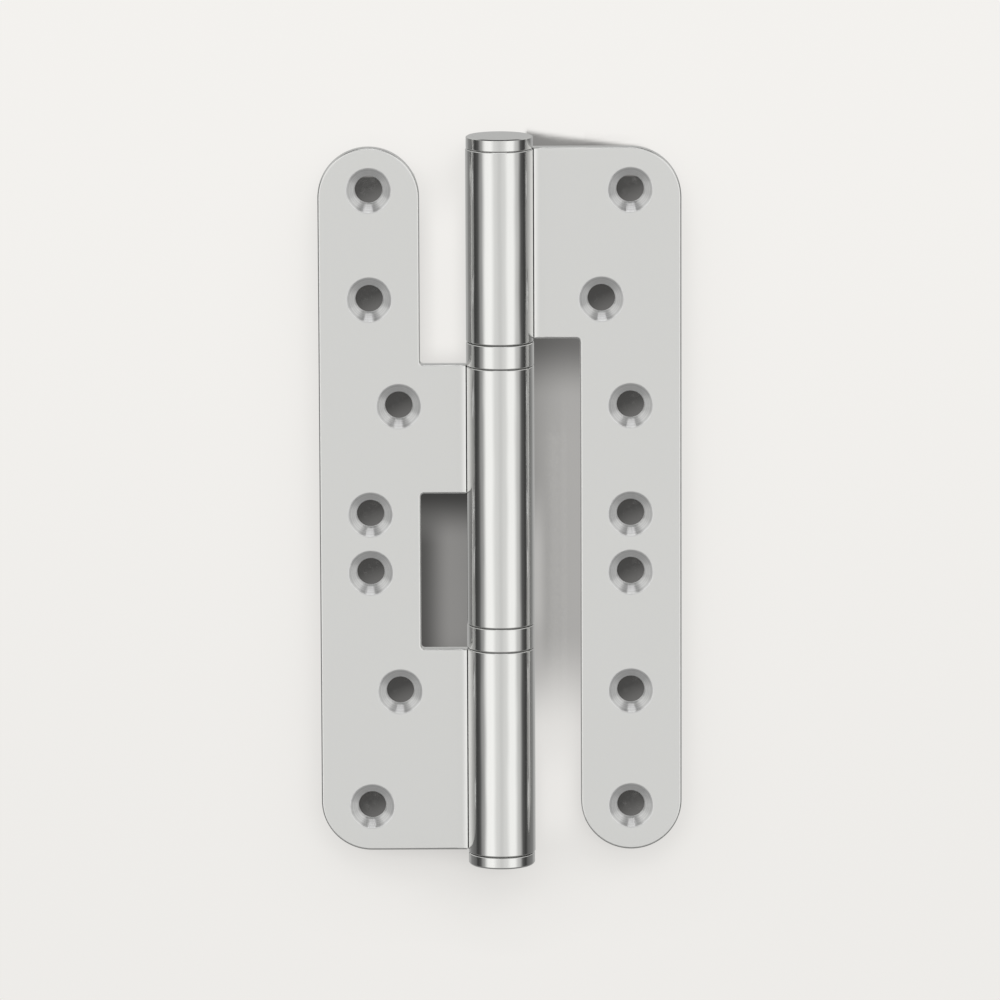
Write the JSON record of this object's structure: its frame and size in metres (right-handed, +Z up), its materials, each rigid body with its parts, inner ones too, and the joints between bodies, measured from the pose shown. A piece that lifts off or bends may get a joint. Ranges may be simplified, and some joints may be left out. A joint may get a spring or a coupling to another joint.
{
  "type": "lift-off hinge",
  "caption": "Heavy stainless lift-off door hinge with countersunk leaves, rolled barrel, fixed pin and a sealed ball thrust bearing.",
  "frame": {"origin": "on the pin axis at mid-height of the barrel", "axes": "+Z up along the pin, +X towards the door leaf, +Y towards the screws' side, so the countersunk fronts face -Y"},
  "size_m": [0.1014, 0.019, 0.207],
  "materials": {
    "satin_steel": "fine satin brushed stainless steel, polished on the barrel",
    "polished_steel": "mirror polished stainless steel",
    "ground_steel": "ground stainless steel",
    "bush_bronze": "rolled bearing bronze",
    "bearing_steel": "hardened and polished bearing steel",
    "cage_brass": "stamped brass"
  },
  "bodies": {
    "frame_side": {"frame_leaf": "satin_steel", "hinge_pin": "ground_steel", "bottom_cap": "polished_steel", "spacer_ring": "polished_steel", "bearing_sleeve": "polished_steel", "lower_race": "bearing_steel"},
    "ball_ring": {"ball_cage": "cage_brass", "ball_01": "bearing_steel", "ball_02": "bearing_steel", "ball_03": "bearing_steel", "ball_04": "bearing_steel", "ball_05": "bearing_steel", "ball_06": "bearing_steel", "ball_07": "bearing_steel", "ball_08": "bearing_steel", "ball_09": "bearing_steel", "ball_10": "bearing_steel", "ball_11": "bearing_steel", "ball_12": "bearing_steel"},
    "turning_race": {"upper_race": "bearing_steel"},
    "door_side": {"door_leaf": "satin_steel", "lower_bush": "bush_bronze", "upper_bush": "bush_bronze", "top_cap": "polished_steel"}
  },
  "joints": [
    {"name": "swing", "type": "hinge", "parent": "frame_side", "child": "turning_race", "pos_m": [0, 0, 0], "axis": [0, 0, -1], "range_deg": [0, 180]},
    {"name": "lift_off", "type": "slide", "parent": "turning_race", "child": "door_side", "axis": [0, 0, 1], "range_m": [0, 0.05]},
    {"name": "cage_turn", "type": "hinge", "parent": "frame_side", "child": "ball_ring", "pos_m": [0, 0, 0], "axis": [0, 0, -1], "range_deg": [0, 90]}
  ],
  "couplings": [
    {"joint": "cage_turn", "follows": "swing", "ratio": 0.5}
  ]
}
